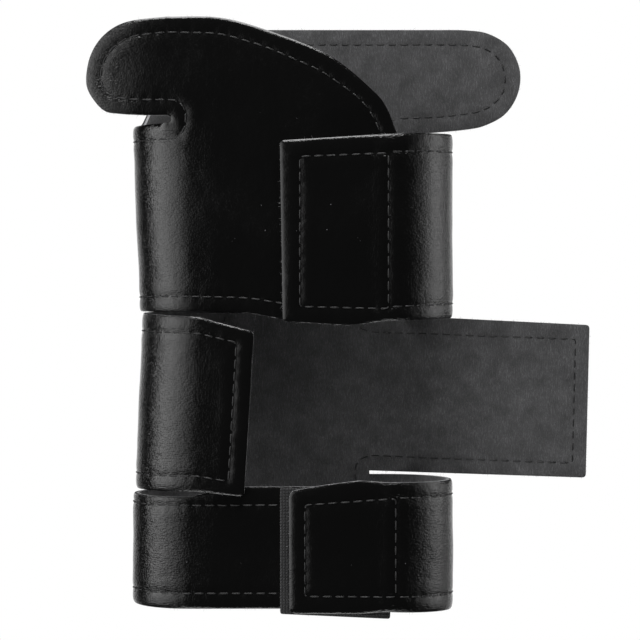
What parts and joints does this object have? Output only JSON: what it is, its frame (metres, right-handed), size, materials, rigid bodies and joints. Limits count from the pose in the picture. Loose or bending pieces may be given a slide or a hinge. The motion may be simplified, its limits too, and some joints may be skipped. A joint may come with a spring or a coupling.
{
  "type": "wrist guard",
  "caption": "Wrap-around wrist guard: a coated leather sheet lined with felt, folded into a cuff with overlapping hook-and-loop tabs, a thumb fin and open straps.",
  "frame": {"origin": "centre of the forearm opening, level with the lowest rim that the cuff stands on", "axes": "+Z along the forearm towards the fingers, -Y to the palm side where the tabs close, +X to the side the straps lie open"},
  "size_m": [0.1569, 0.0436, 0.1825],
  "materials": {
    "coated_leather": "gloss",
    "felt": "matte",
    "thread": "satin",
    "loop_tape": "matte",
    "hook_tape": "matte",
    "splint": "satin"
  },
  "bodies": {
    "cuff": {"back_lining": "felt", "back_seam": "thread", "back_skin": "coated_leather", "back_splint": "splint", "lower_front_lining": "felt", "lower_front_skin": "coated_leather", "lower_left_fold_lining": "felt", "lower_left_fold_skin": "coated_leather", "lower_left_seam": "thread", "lower_loop_tape": "loop_tape", "lower_right_fold_lining": "felt", "lower_right_fold_seam": "thread", "lower_right_fold_skin": "coated_leather", "middle_left_fold_lining": "felt", "middle_left_fold_seam": "thread", "middle_left_fold_skin": "coated_leather", "palm_loop_patch": "loop_tape", "palm_panel_lining": "felt", "palm_panel_skin": "coated_leather", "palm_splint": "splint", "upper_left_fold_lining": "felt", "upper_left_fold_skin": "coated_leather", "upper_left_seam": "thread", "upper_right_fold_lining": "felt", "upper_right_fold_seam": "thread", "upper_right_fold_skin": "coated_leather"},
    "upper_tab": {"upper_tab_skin": "coated_leather", "upper_tab_lining": "felt", "upper_hook_patch": "hook_tape", "upper_tab_seam": "thread"},
    "lower_tab": {"lower_tab_skin": "coated_leather", "lower_tab_lining": "felt", "lower_hook_patch": "hook_tape", "lower_tab_seam": "thread"},
    "middle_tab": {"middle_tab_skin": "coated_leather", "middle_tab_lining": "felt", "middle_hook_patch": "hook_tape", "middle_tab_seam": "thread"},
    "middle_strap": {"middle_strap_skin": "coated_leather", "middle_strap_lining": "felt", "middle_strap_loop_patch": "loop_tape", "middle_strap_seam": "thread"},
    "hand_strap": {"hand_strap_skin": "coated_leather", "hand_strap_lining": "felt", "hand_strap_loop_patch": "loop_tape", "hand_strap_seam": "thread"},
    "thumb_fin": {"thumb_fin_skin": "coated_leather", "thumb_fin_lining": "felt", "thumb_fin_hook_patch": "hook_tape", "thumb_fin_seam": "thread"}
  },
  "joints": [
    {"name": "upper_tab_peel", "type": "hinge", "parent": "cuff", "child": "upper_tab", "pos_m": [0.02825, -0.00125, 0.117], "axis": [0, 0, 1], "range_deg": [0, 150], "deforming": ["upper_right_fold_skin", "upper_right_fold_lining", "upper_right_fold_seam"]},
    {"name": "lower_tab_peel", "type": "hinge", "parent": "cuff", "child": "lower_tab", "pos_m": [0.02825, -0.00125, 0.021], "axis": [0, 0, 1], "range_deg": [0, 150], "deforming": ["lower_right_fold_skin", "lower_right_fold_lining", "lower_right_fold_seam"]},
    {"name": "middle_tab_peel", "type": "hinge", "parent": "cuff", "child": "middle_tab", "pos_m": [-0.02835, -0.00025, 0.064], "axis": [0, 0, -1], "range_deg": [0, 150], "deforming": ["middle_left_fold_skin", "middle_left_fold_lining", "middle_left_fold_seam"]},
    {"name": "middle_strap_wrap", "type": "hinge", "parent": "cuff", "child": "middle_strap", "pos_m": [0.02825, -0.00125, 0.065], "axis": [0, 0, -1], "range_deg": [0, 150]},
    {"name": "hand_strap_bend", "type": "hinge", "parent": "cuff", "child": "hand_strap", "pos_m": [0.037, 0.0189, 0.166], "axis": [0, 0, -1], "range_deg": [-30, 95]},
    {"name": "thumb_fin_bend", "type": "hinge", "parent": "cuff", "child": "thumb_fin", "pos_m": [-0.04, -0.0169, 0.166], "axis": [0, 0, -1], "range_deg": [-20, 90]}
  ]
}
